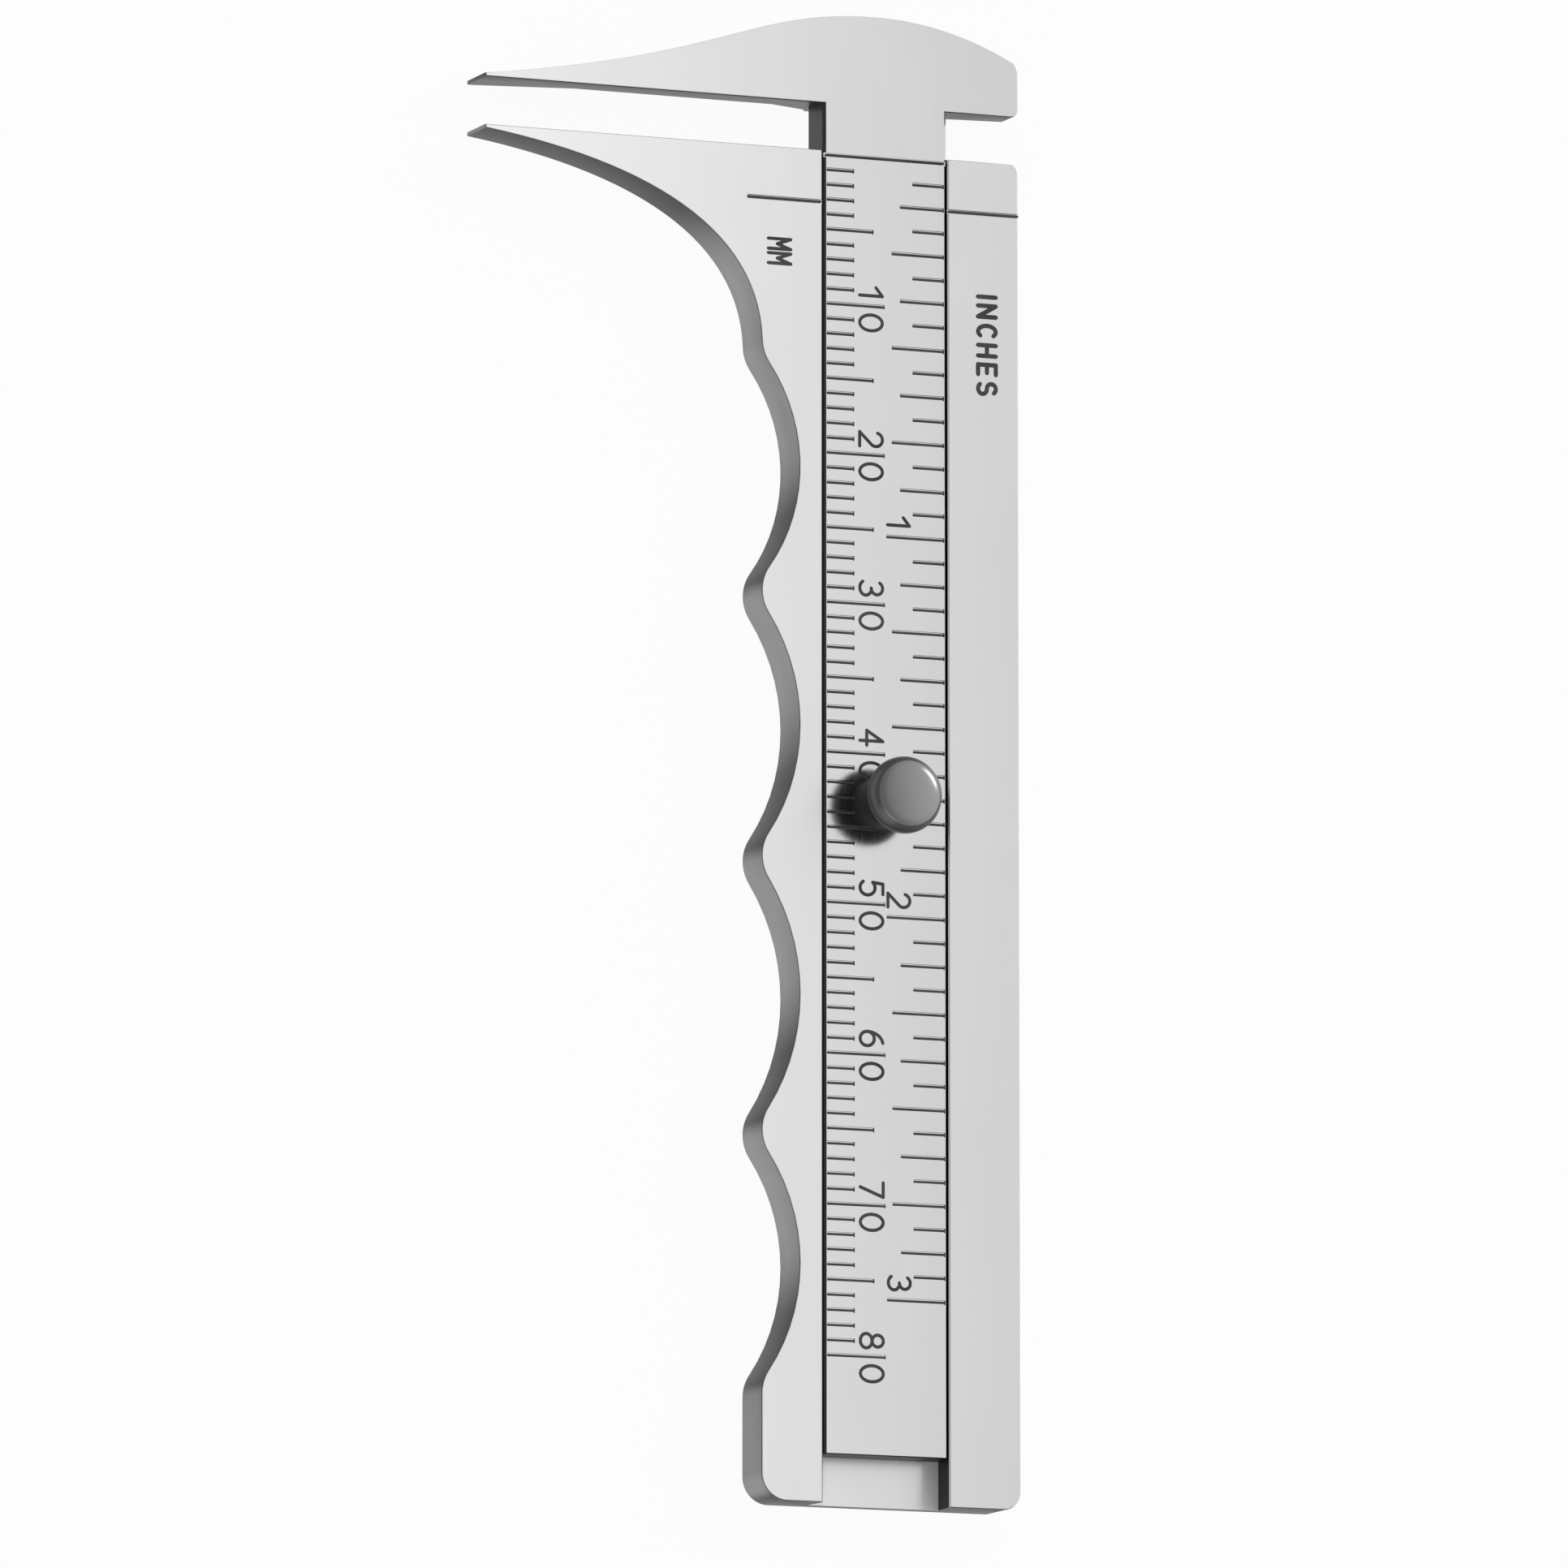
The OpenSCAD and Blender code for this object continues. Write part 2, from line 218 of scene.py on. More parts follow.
# Smooth shading, with the edges kept crisp where the surface turns, and round flats
def shade(piece):
    mesh = piece.data
    mesh.shade_smooth()
    work = bmesh.new()
    work.from_mesh(mesh)
    bmesh.ops.dissolve_degenerate(work, dist=shading["tiny"], edges=work.edges)
    for edge in work.edges:
        faces = edge.link_faces
        flats = [f for f in faces if abs(f.normal.z) > shading["flatUp"]]
        turn = math.degrees(edge.calc_face_angle(0)) if len(faces) == 2 else 0
        most = shading["flatCrease"] if len(flats) == 1 else shading["crease"]
        edge.smooth = turn <= most
    work.to_mesh(mesh)
    work.free()


# Puts a finished piece into the frame, on its body
def fit(piece, place, body, slot, *stoodFor):
    piece.data.transform(place)
    piece.data.update()
    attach(piece, body)
    if stoodFor:
        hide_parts(*stoodFor)


# One socket of a node tree: sums and products of sockets add Math nodes
class Wire:
    def __init__(self, tree, socket):
        self.tree, self.socket = tree, socket

    def maths(self, operation, *values):
        return self.tree.add("ShaderNodeMath", {"operation": operation}, *values)

    def __add__(self, other):
        return self.maths("ADD", self, other)

    def __sub__(self, other):
        return self.maths("SUBTRACT", self, other)

    def __rsub__(self, other):
        return self.maths("SUBTRACT", other, self)

    def __mul__(self, other):
        return self.maths("MULTIPLY", self, other)

    def __mod__(self, other):
        return self.maths("MODULO", self, other)

    def __lt__(self, other):
        return self.maths("LESS_THAN", self, other)

    def __gt__(self, other):
        return self.maths("GREATER_THAN", self, other)

    def __abs__(self):
        return self.maths("ABSOLUTE", self)

    __radd__ = __add__
    __rmul__ = __mul__


class Tree:
    def __init__(self, nodeTree):
        self.nodeTree = nodeTree

    # Adds any node: its type, its settings, and values or wires for its sockets,
    # by order or by name. It gives the output of that name, or else the first.
    def add(self, kind, settings=None, *values, out="", **named):
        node = self.nodeTree.nodes.new(kind)
        for key, value in (settings or {}).items():
            setattr(node, key, value)
        sockets = [s for s in node.inputs if s.enabled]
        pairs = list(zip(sockets, values))
        for name, value in named.items():
            label = name.replace("_", " ")
            pairs.append((next(s for s in sockets if s.name == label), value))
        for socket, value in pairs:
            if isinstance(value, Wire):
                self.nodeTree.links.new(value.socket, socket)
            elif value is not None:
                socket.default_value = value
        outputs = [s for s in node.outputs if s.enabled]
        if not outputs:
            return node
        return Wire(self, next(s for s in outputs if out in ("", s.name)))


# A smooth change from low to high while a value crosses the span
def ease(value, span, low, high):
    return value.tree.add("ShaderNodeMapRange", {"interpolation_type": "SMOOTHSTEP"}, value,
                          *span, low, high)


# The view of the photograph: tilted to the left and a little to the foot
view = dict(
    across=22.6,         # degrees, turned about the instrument's length
    along=8.45,          # degrees, tipped towards the foot
    distance=1040.0,     # mm
    pixelsPerMm=18.67,   # at the target
    frameSize=1932,      # px
    sensor=36,           # mm
    clip=(0.05, 20),     # m
    target=(0.0, -42.0),     # on the graduated face
    targetAt=(125.5, 4.4),   # px right of and above the middle of the picture
)


def addCamera():
    phi, tau = math.radians(view["across"]), math.radians(view["along"])
    right = Vector((math.cos(phi), 0, math.sin(phi)))
    up = Vector((-math.sin(phi) * math.sin(tau), math.cos(tau), math.cos(phi) * math.sin(tau)))
    back = right.cross(up)
    besideAim = right * view["targetAt"][0] + up * view["targetAt"][1]
    aim = Vector((*view["target"], thick)) - besideAim / view["pixelsPerMm"]
    data = bpy.data.cameras.new("camera")
    data.sensor_width = view["sensor"]
    data.lens = view["sensor"] * view["pixelsPerMm"] * view["distance"] / view["frameSize"]
    data.clip_start, data.clip_end = view["clip"]
    camera = bpy.data.objects.new("camera", data)
    bpy.context.scene.collection.objects.link(camera)
    turn = Matrix((right, up, back)).transposed().to_4x4()
    eye = bodyPlace @ (aim + back * view["distance"])
    camera.matrix_world = Matrix.Translation(eye) @ turn
    bpy.context.scene.camera = camera


addCamera()
print("camera set")


def newMaterial(name):
    material = bpy.data.materials.new(name)
    material.use_nodes = True
    material.node_tree.nodes.clear()
    return material, Tree(material.node_tree)


steel = dict(
    bands=(420.0, 26.0, 420.0),         # slow drifts of tone, longer than wide, per metre
    handling=150.0,                     # marks of handling, per metre
    paintedLightWay=Vector((-0.93, -0.37, 0.0)),  # the way from which the edges' painted light comes
    paintedLightRamp=(0.78, 1.0),               # how squarely an edge faces that way, from painted shade to painted light
    paintedLightTone=0.33,                      # how much paler milled steel is painted where it is matt, as painted light
    mattShine=0.85,                     # and how much less it mirrors
    strokeHigh=0.000004,                # m, of a brush stroke
    strokeTone=0.7,                     # how much of the cloudiness the strokes have
    strokeRough=0.10,                   # what strokes and marks add to the roughness
    handlingRough=0.08,
    blue=1.005,                         # how much bluer it is than grey
)


# Steel: brushed lengthwise, with slow cloudy changes of tone and fine handling marks.
# The fall is painted shade: how much darker it is painted per metre from left to right. An
# edge gets painted light and shade: it is painted brightest where it squarely faces the
# painted light's line, and down to the given share of that elsewhere. The dull pair are the
# distances from the channel's middle over which milling leaves it matt and it is painted paler
# as painted light.
def steelMaterial(name, tone, rough, cloud=0.05, grain=0.15, grainAcross=9000.0,
                  grainAlong=260.0, paintedShadeFall=0.0, paintedShadeShare=1.0, mattAndPaintedLight=None):
    material, tree = newMaterial(name)
    place = tree.add("ShaderNodeTexCoord", {}, out="Object")
    across = tree.add("ShaderNodeSeparateXYZ", {}, place) - bodyPlace.translation.x
    brushed = tree.add("ShaderNodeMapping", {}, place,
                       Scale=(grainAcross, grainAlong, grainAcross))
    strokes = tree.add("ShaderNodeTexNoise", {}, brushed, Scale=1.0, Detail=3.0)
    bands = tree.add("ShaderNodeMapping", {}, place, Scale=steel["bands"])
    drift = tree.add("ShaderNodeTexNoise", {}, bands, Scale=1.0, Detail=2.0)
    handled = tree.add("ShaderNodeTexNoise", {}, place, Scale=steel["handling"], Detail=4.0)
    level = 1 + (drift - 0.5) * cloud + (handled - 0.5) * cloud
    # Painted shade: darker by the fall per metre towards the right, or towards the left where
    # the fall is negative
    level = level + (strokes - 0.5) * (cloud * steel["strokeTone"]) - across * paintedShadeFall
    if paintedShadeShare < 1:
        # Painted light and shade: an edge is painted brighter the more squarely it faces left
        # and a little towards the foot, or the opposite way
        facing = tree.add("ShaderNodeTexCoord", {}, out="Normal")
        paintedLightFacing = tree.add("ShaderNodeVectorMath", {"operation": "DOT_PRODUCT"}, facing,
                           steel["paintedLightWay"], out="Value")
        level = level * ease(abs(paintedLightFacing), steel["paintedLightRamp"], paintedShadeShare, 1.0)
    shine = 1.0
    # Matt beside the channel's walls, and painted paler there as painted light against the
    # walls' shade
    if mattAndPaintedLight:
        mattAndPaintedLightShare = ease(abs(across), mattAndPaintedLight, 0.0, 1.0)
        level = level * (mattAndPaintedLightShare * steel["paintedLightTone"] + 1)
        shine = 1 - mattAndPaintedLightShare * steel["mattShine"]
    colour = tree.add("ShaderNodeCombineColor", {}, level * tone, level * tone,
                      level * (tone * steel["blue"]))
    bump = tree.add("ShaderNodeBump", {}, Strength=grain, Distance=steel["strokeHigh"],
                    Height=strokes)
    uneven = (strokes - 0.5) * steel["strokeRough"] + (handled - 0.5) * steel["handlingRough"]
    shader = tree.add("ShaderNodeBsdfPrincipled", {}, Base_Color=colour, Metallic=shine,
                      Roughness=uneven + rough, Normal=bump)
    tree.add("ShaderNodeOutputMaterial", {}, shader)
    return material


fillLook = dict(
    grit=9000.0, patches=420.0,              # per metre
    tone=0.035, gritTone=0.02, patchTone=0.10,
    patchFrom=0.35,                          # the noise above which a patch is paler
    rough=0.7, gritRough=0.2,
    bump=0.4, gritHigh=0.00001,              # m
)


# Matt black filler, gritty and a little patchy
def fillMaterial(name):
    look = fillLook
    material, tree = newMaterial(name)
    place = tree.add("ShaderNodeTexCoord", {}, out="Object")
    grit = tree.add("ShaderNodeTexNoise", {}, place, Scale=look["grit"], Detail=3.0)
    patches = tree.add("ShaderNodeTexNoise", {}, place, Scale=look["patches"], Detail=2.0)
    level = (patches - look["patchFrom"]) * look["patchTone"]
    level = level + (grit - 0.5) * look["gritTone"] + look["tone"]
    colour = tree.add("ShaderNodeCombineColor", {}, level, level, level)
    bump = tree.add("ShaderNodeBump", {}, Strength=look["bump"], Distance=look["gritHigh"],
                    Height=grit)
    shader = tree.add("ShaderNodeBsdfPrincipled", {}, Base_Color=colour, Normal=bump,
                      Roughness=(grit - 0.5) * look["gritRough"] + look["rough"])
    tree.add("ShaderNodeOutputMaterial", {}, shader)
    return material


knobGrain = dict(grainAcross=2500.0, grainAlong=2500.0)
# The face steels are painted darker towards the right, as painted shade.
bodyFace = steelMaterial("body_face_steel", tone=0.73, rough=0.30, paintedShadeFall=9.0)
# The finger-side edges: a copy of the steel painted dark as shade, and painted lighter where
# they face the lower left
bodyEdge = steelMaterial("body_edge_painted_shading", tone=0.30, rough=0.50, cloud=0.35, paintedShadeShare=0.26)
# The channel's walls and the bar's foot: a copy of the steel painted near black, as painted
# shade.
bodyChannel = steelMaterial("channel_painted_shade", tone=0.02, rough=0.45, cloud=0.20)
# The channel's floor: matt near its walls and painted paler there, as painted light.
bodyFloor = steelMaterial("body_floor_matt_painted_light", tone=0.73, rough=0.30, paintedShadeFall=9.0,
                          mattAndPaintedLight=(0.0032, 0.0039))
slideFace = steelMaterial("slide_face_steel", tone=0.68, rough=0.15, paintedShadeFall=9.0)
# The slide's edges: a copy of the steel painted dark, as painted shade.
slideEdge = steelMaterial("slide_edge_painted_shade", tone=0.06, rough=0.40, cloud=0.25)
# The knob's crown is painted darker towards its left, as painted shade.
knobSteel = steelMaterial("knob_turned_steel", tone=0.26, rough=0.22, paintedShadeFall=-130.0,
                          **knobGrain)
# The knob's rim, and its underside and stem: copies of its steel painted dark, as painted
# shade.
knobRim = steelMaterial("knob_rim_painted_shade", tone=0.10, rough=0.34, **knobGrain)
knobDark = steelMaterial("knob_recess_painted_shade", tone=0.03, rough=0.5, cloud=0.2)
springSteel = steelMaterial("spring_blue_steel", tone=0.30, rough=0.35)
pinSteel = steelMaterial("pin_ground_steel", tone=0.55, rough=0.3)
blackFill = fillMaterial("black_filler")
print("materials made")


paintedShadingSizes = dict(
    level=0.9,        # least upward share of a face's normal where it gets the lit face steel
    upright=0.3,      # most upward share of it on a wall of the channel
    edgeBeside=0.3,   # mm beside the channel's wall that gets the lit face steel
    floorDeep=1.0,    # mm below the face, where only the channel's floor lies
    turnedAway=0.2,   # how far from the upper right a wall may look and still get the lit face steel
    rimUp=0.15,       # most upward share of a normal on the rims given the edges' painted shade
)


# A flat steel piece's painted shading at a face, by where it looks: 0, the lit face steel,
# where it looks up or down, or outwards to the top or right; 1, a copy with painted shade and
# light, on the edges of the finger side; 2, a copy painted near black as shade, on the
# channel's walls; and 3 on its milled floor
def steelFinish(face, wallHalf=0.0):
    f = paintedShadingSizes
    normal, middle = face.normal, face.center
    inside = abs(middle.x) < wallHalf
    if abs(normal.z) > f["level"]:
        deep = 0 < middle.z < thick - f["floorDeep"]
        return 3 if inside and deep and normal.z > 0 else 0
    if inside and abs(normal.z) < f["upright"]:
        return 2
    if abs(middle.x) < wallHalf + f["edgeBeside"]:
        return 0
    side, away = normal.x + normal.y, f["turnedAway"]
    return int(side < -away or (side < away and normal.z < f["rimUp"]))


# Gives a piece its materials: the lit steel and its painted-shade copies, by where each of its
# faces looks
def dress(piece, *materials, choose=lambda face: 0):
    piece.data.materials.clear()
    for material in materials:
        piece.data.materials.append(material)
    for face in piece.data.polygons:
        face.material_index = choose(face)


graduation = dict(
    zeroOffset=3.5,      # from each measuring face to its zero line
    lineWidth=0.22,
    boldWidth=0.28,
    depth=0.15,
    fillSink=0.02,
    metric=dict(pitch=1.0, count=80, lengths=(2.2, 3.6, 4.4, 4.4), every=(5, 10, 10)),
    inch=dict(pitch=inchLong / 16, count=48, lengths=(2.5, 3.4, 4.0, 4.4), every=(2, 4, 16)),
    indexLine=5.4,       # on the grip land
    cornerRound=0.03,    # of the filler, at the foot of the line and at its skin
)


# Geometry Nodes: a row of engraved lines. Each is a bar laid across the instrument,
# and its length follows from its number, as on a ruler.
def lineTree():
    nodeTree = bpy.data.node_groups.new("engraved_lines", "GeometryNodeTree")
    face = nodeTree.interface
    face.new_socket(name="Geometry", in_out="OUTPUT", socket_type="NodeSocketGeometry")
    face.new_socket(name="Count", in_out="INPUT", socket_type="NodeSocketInt")
    wanted = ["Pitch", "First Line", "Start", "Towards", "Lead", "Length", "Length 1",
              "Length 2", "Length 3", "Every 1", "Every 2", "Every 3", "Width", "Depth",
              "Top", "Corner"]
    for name in wanted:
        face.new_socket(name=name, in_out="INPUT", socket_type="NodeSocketFloat")
    face.new_socket(name="Material", in_out="INPUT", socket_type="NodeSocketMaterial")
    tree = Tree(nodeTree)
    given = nodeTree.nodes.new("NodeGroupInput")
    inputs = {s.name: Wire(tree, s) for s in given.outputs if s.name}
    number = tree.add("GeometryNodeInputIndex", {})
    first = tree.add("ShaderNodeCombineXYZ", {}, inputs["Start"], inputs["First Line"], 0.0)
    step = tree.add("ShaderNodeCombineXYZ", {}, 0.0, 0 - inputs["Pitch"], 0.0)
    row = tree.add("GeometryNodeMeshLine", {}, inputs["Count"], first, step)
    length = inputs["Length"]
    for rank in ("1", "2", "3"):
        here = (number + 1) % inputs["Every " + rank] < 0.5
        length = length + (inputs["Length " + rank] - length) * here
    one = tree.add("GeometryNodeCurvePrimitiveLine", {"mode": "POINTS"}, (0, 0, 0), (1, 0, 0))
    size = tree.add("ShaderNodeCombineXYZ", {}, (length + inputs["Lead"]) * inputs["Towards"],
                    1.0, 1.0)
    lines = tree.add("GeometryNodeInstanceOnPoints", {}, row, None, one, Scale=size)
    lines = tree.add("GeometryNodeRealizeInstances", {}, lines)
    lines = tree.add("GeometryNodeSetCurveNormal", {"mode": "Z_UP"}, lines)
    section = tree.add("GeometryNodeCurvePrimitiveQuadrilateral", {"mode": "RECTANGLE"},
                       inputs["Depth"], inputs["Width"])
    section = tree.add("GeometryNodeFilletCurve", {"mode": "POLY"}, section, 2,
                       inputs["Corner"])
    lines = tree.add("GeometryNodeCurveToMesh", {}, lines, section, Fill_Caps=True)
    middle = tree.add("ShaderNodeCombineXYZ", {}, 0.0, 0.0,
                      inputs["Top"] - inputs["Depth"] * 0.5)
    lines = tree.add("GeometryNodeTransform", {}, lines, middle)
    lines = tree.add("GeometryNodeRealizeInstances", {}, lines)
    lines = tree.add("GeometryNodeSetMaterial", {}, lines, Material=inputs["Material"])
    result = nodeTree.nodes.new("NodeGroupOutput")
    nodeTree.links.new(lines.socket, result.inputs["Geometry"])
    return nodeTree


lineRule = lineTree()


# Runs the rule once and keeps a plain mesh
def engravedLines(name, **sizes):
    piece = newPiece(name, [], [])
    step = piece.modifiers.new("lines", "NODES")
    step.node_group = lineRule
    sizes = {**{"Material": blackFill, "Corner": 0.0}, **sizes}
    for item in lineRule.interface.items_tree:
        if item.in_out == "INPUT":
            step[item.identifier] = sizes[item.name]
    return settle(piece)


# The rows of one scale, either as cutters that run off the bar or as its filler
def scaleRow(name, scale, edge, towards, reach, top, depth, corner):
    rule = graduation[scale]
    return engravedLines(
        name, **{"Count": rule["count"], "Pitch": rule["pitch"],
                 "First Line": -graduation["zeroOffset"] - rule["pitch"],
                 "Start": (edge + reach) * -towards, "Towards": float(towards),
                 "Lead": reach, "Length": rule["lengths"][0],
                 "Length 1": rule["lengths"][1], "Length 2": rule["lengths"][2],
                 "Length 3": rule["lengths"][3], "Every 1": float(rule["every"][0]),
                 "Every 2": float(rule["every"][1]), "Every 3": float(rule["every"][2]),
                 "Width": graduation["lineWidth"], "Depth": depth, "Top": top,
                 "Corner": corner})


# One line from x0 to x1 at a height along the instrument
def oneLine(name, x0, x1, y, top, depth, corner=0.0):
    return engravedLines(
        name, **{"Count": 1, "Pitch": 0.0, "First Line": y, "Start": x0, "Towards": 1.0,
                 "Lead": 0.0, "Length": x1 - x0, "Length 1": x1 - x0, "Length 2": x1 - x0,
                 "Length 3": x1 - x0, "Every 1": 1.0, "Every 2": 1.0, "Every 3": 1.0,
                 "Width": graduation["boldWidth"], "Depth": depth, "Top": top,
                 "Corner": corner})


def joined(name, *parts):
    points, faces = [], []
    for part in parts:
        start = len(points)
        points += [v.co.copy() for v in part.data.vertices]
        faces += [tuple(start + i for i in f.vertices) for f in part.data.polygons]
        bpy.data.objects.remove(part)
    return newPiece(name, points, faces)


lettering = dict(
    height=1.64,          # of the metric numerals, between the strokes' middle lines
    inchHeight=1.57,
    stroke=0.12,          # radius of the round-nosed cutter
    nearGap=0.58,         # from a ten-millimetre line to the numeral's near side
    metricBase=-1.86,     # where the metric numerals stand, from the channel's middle
    inchBase=0.14,
    inchGap=0.68,
    pathSteps=20,
    around=10,
    strokeStep=0.013,     # share that each stroke of a sign is wider than the one before
    ballEnd=[(0.995, 0.1), (0.75, 0.66), (0.0, 1.0)],    # reach and width of its rings
    slabBefore=1.0,       # of the slab that becomes filler, round the signs' corners
    slabBeyond=3.0,       # and past the last sign's own height and width
    slabDeep=0.5,
)


def bow(cx, cy, rx, ry, a0, a1):
    count = max(4, round(lettering["pathSteps"] * abs(a1 - a0) / 360))
    return [(cx + rx * math.cos(math.radians(a0 + (a1 - a0) * i / count)),
             cy + ry * math.sin(math.radians(a0 + (a1 - a0) * i / count)))
            for i in range(count + 1)]


# Strokes of each sign on a field one unit high. A list is one smooth stroke.
signs = {
    "0": (0.65, [bow(0.325, 0.5, 0.325, 0.5, 90, 450)]),
    "1": (0.50, [[(0.42, 0), (0.42, 1)], [(0.42, 1), (0.08, 0.72)]]),
    "2": (0.58, [bow(0.29, 0.71, 0.28, 0.29, 165, -38) + [(0, 0)], [(0, 0), (0.58, 0)]]),
    "3": (0.58, [bow(0.27, 0.75, 0.26, 0.25, 150, -90),
                 bow(0.27, 0.26, 0.30, 0.26, 82, -150)]),
    "4": (0.60, [[(0.42, 0), (0.42, 1)], [(0.42, 1), (0, 0.3)], [(0, 0.3), (0.60, 0.3)]]),
    "5": (0.58, [[(0.52, 1), (0.1, 1)], [(0.1, 1), (0.05, 0.56)],
                 bow(0.27, 0.33, 0.30, 0.33, 137, -145)]),
    "6": (0.58, [bow(0.29, 0.31, 0.29, 0.31, 90, 450), bow(0.52, 0.31, 0.52, 0.69, 180, 98)]),
    "7": (0.58, [[(0, 1), (0.58, 1)], [(0.58, 1), (0.2, 0)]]),
    "8": (0.58, [bow(0.29, 0.755, 0.24, 0.245, -90, 270),
                 bow(0.29, 0.255, 0.29, 0.255, 90, 450)]),
    "M": (0.42, [[(0, 0), (0, 1)], [(0, 1), (0.21, 0.4)], [(0.21, 0.4), (0.42, 1)],
                 [(0.42, 1), (0.42, 0)]]),
    "I": (0.0, [[(0, 0), (0, 1)]]),
    "N": (0.58, [[(0, 0), (0, 1)], [(0, 1), (0.58, 0)], [(0.58, 0), (0.58, 1)]]),
    "C": (0.56, [bow(0.31, 0.5, 0.31, 0.5, 48, 312)]),
    "H": (0.56, [[(0, 0), (0, 1)], [(0.56, 0), (0.56, 1)], [(0, 0.5), (0.56, 0.5)]]),
    "E": (0.50, [[(0, 0), (0, 1)], [(0, 1), (0.5, 1)], [(0, 0.5), (0.42, 0.5)],
                 [(0, 0), (0.5, 0)]]),
    "S": (0.58, [bow(0.29, 0.745, 0.26, 0.255, 35, 270)
                 + bow(0.29, 0.25, 0.28, 0.25, 84, -145)]),
}


# A round-nosed cutter's path: a tube with ball ends, its axis at the steel's face
def strokeTube(path, radius, level, around):
    closed = (Vector(path[0]) - Vector(path[-1])).length < 1e-4
    spots = [Vector(p) for p in (path[:-1] if closed else path)]
    points, rings, count = [], 0, len(spots)
    for i, spot in enumerate(spots):
        before = spots[i - 1] if closed or i else spot
        after = spots[(i + 1) % count] if closed or i < count - 1 else spot
        ahead = (after - before).normalized()
        side = Vector((-ahead.y, ahead.x))
        stages = [(0.0, 1.0)]
        if not closed and i == 0:
            stages = [(-reach, share) for reach, share in lettering["ballEnd"]]
        if not closed and i == count - 1:
            stages = lettering["ballEnd"][::-1]
        for reach, share in stages:
            rings += 1
            centre = spot + ahead * (reach * radius)
            for k in range(around):
                a = 2 * math.pi * (k + 0.5) / around
                flat = centre + side * (radius * share * math.cos(a))
                points.append((flat.x, flat.y, level + radius * share * math.sin(a)))
    return points, ringFaces(rings, around, closed)


# Signs that read down the instrument: their tops face +X and they run towards the foot.
# Each stroke is a hair wider than the one before, so no two meet edge on edge.
def cutSigns(name, placed):
    points, faces = [], []
    for sign, base, top, height, nose in placed:
        for i, stroke in enumerate(signs[sign][1]):
            path = [(base + y * height, top - x * height) for x, y in stroke]
            wider = nose * (1 + lettering["strokeStep"] * i)
            made, linked = strokeTube(path, wider, thick, lettering["around"])
            faces += [tuple(len(points) + i for i in f) for f in linked]
            points += made
    return newPiece(name, points, faces)


def numeralPlaces():
    tall, zero, nose = lettering["height"], graduation["zeroOffset"], lettering["stroke"]
    placed, base = [], lettering["metricBase"]
    for ten in range(1, 9):
        y = -zero - 10 * ten
        width = signs[str(ten)][0] * tall
        placed.append((str(ten), base, y + lettering["nearGap"] + width, tall, nose))
        placed.append(("0", base, y - lettering["nearGap"], tall, nose))
    small = lettering["inchHeight"]
    for whole in (1, 2, 3):
        y = -zero - inchLong * whole
        width = signs[str(whole)][0] * small
        placed.append((str(whole), lettering["inchBase"], y + lettering["inchGap"] + width,
                       small, nose))
    return placed


# A word of signs, each a gap after the last
def wordPlaces(word, base, top, height, gap, stroke):
    placed = []
    for sign in word:
        placed.append((sign, base, top, height, stroke))
        top -= signs[sign][0] * height + gap
    return placed


# The filler that lies in the engraved signs: what the cutter and a thin slab share
def signFiller(name, placed):
    xs = [p[1] for p in placed]
    ys = [p[2] for p in placed]
    sink = graduation["fillSink"]
    near, far, deep = (lettering[key] for key in ("slabBefore", "slabBeyond", "slabDeep"))
    slab = block(name, (min(xs) - near, min(ys) - far, thick - deep),
                 (max(xs) + far, max(ys) + near, thick - sink))
    return carve(slab, cutSigns("filler_cut", placed), "INTERSECT", overlaps=True)


bodySizes = dict(
    rim=0.08, rimSteps=3,
    channelHalf=4.5, undercut=0.15, barDepth=2.2, floorGap=0.05, edgeBreak=0.1,
    pinX=3.4, pinY=-6.0, pinHole=0.51, pinAround=32,
    wallReach=0.02,      # past the channel's widest place, within which its faces lie
)


# The bar's cross-section, or the channel's, with its broken edges. A negative bevel
# breaks the bar's own edges inwards.
def dovetail(half, depth, bevel, top, sizes):
    wide = half + sizes["undercut"]
    return [(-wide, thick - depth), (wide, thick - depth), (half, thick - sizes["edgeBreak"]),
            (half + bevel, thick), (half + bevel, top), (-half - bevel, top),
            (-half - bevel, thick), (-half, thick - sizes["edgeBreak"])]


# Where the two index lines run: cutters reach past the steel, and filler stays in it
def indexSpans(reach):
    half = bodySizes["channelHalf"]
    inner = half - reach if reach else half + bodySizes["edgeBreak"]
    outer = bodyBox[1].x / mm - channelX / mm
    return [(-half - graduation["indexLine"], -inner), (inner, outer + reach)]


unitWords = dict(
    inch=dict(word="INCHES", base=6.68, top=-9.1, height=1.28, gap=0.60, stroke=0.16),
    millimetre=dict(word="MM", base=-8.4, top=-6.22, height=1.6, gap=0.3, stroke=0.12),
)


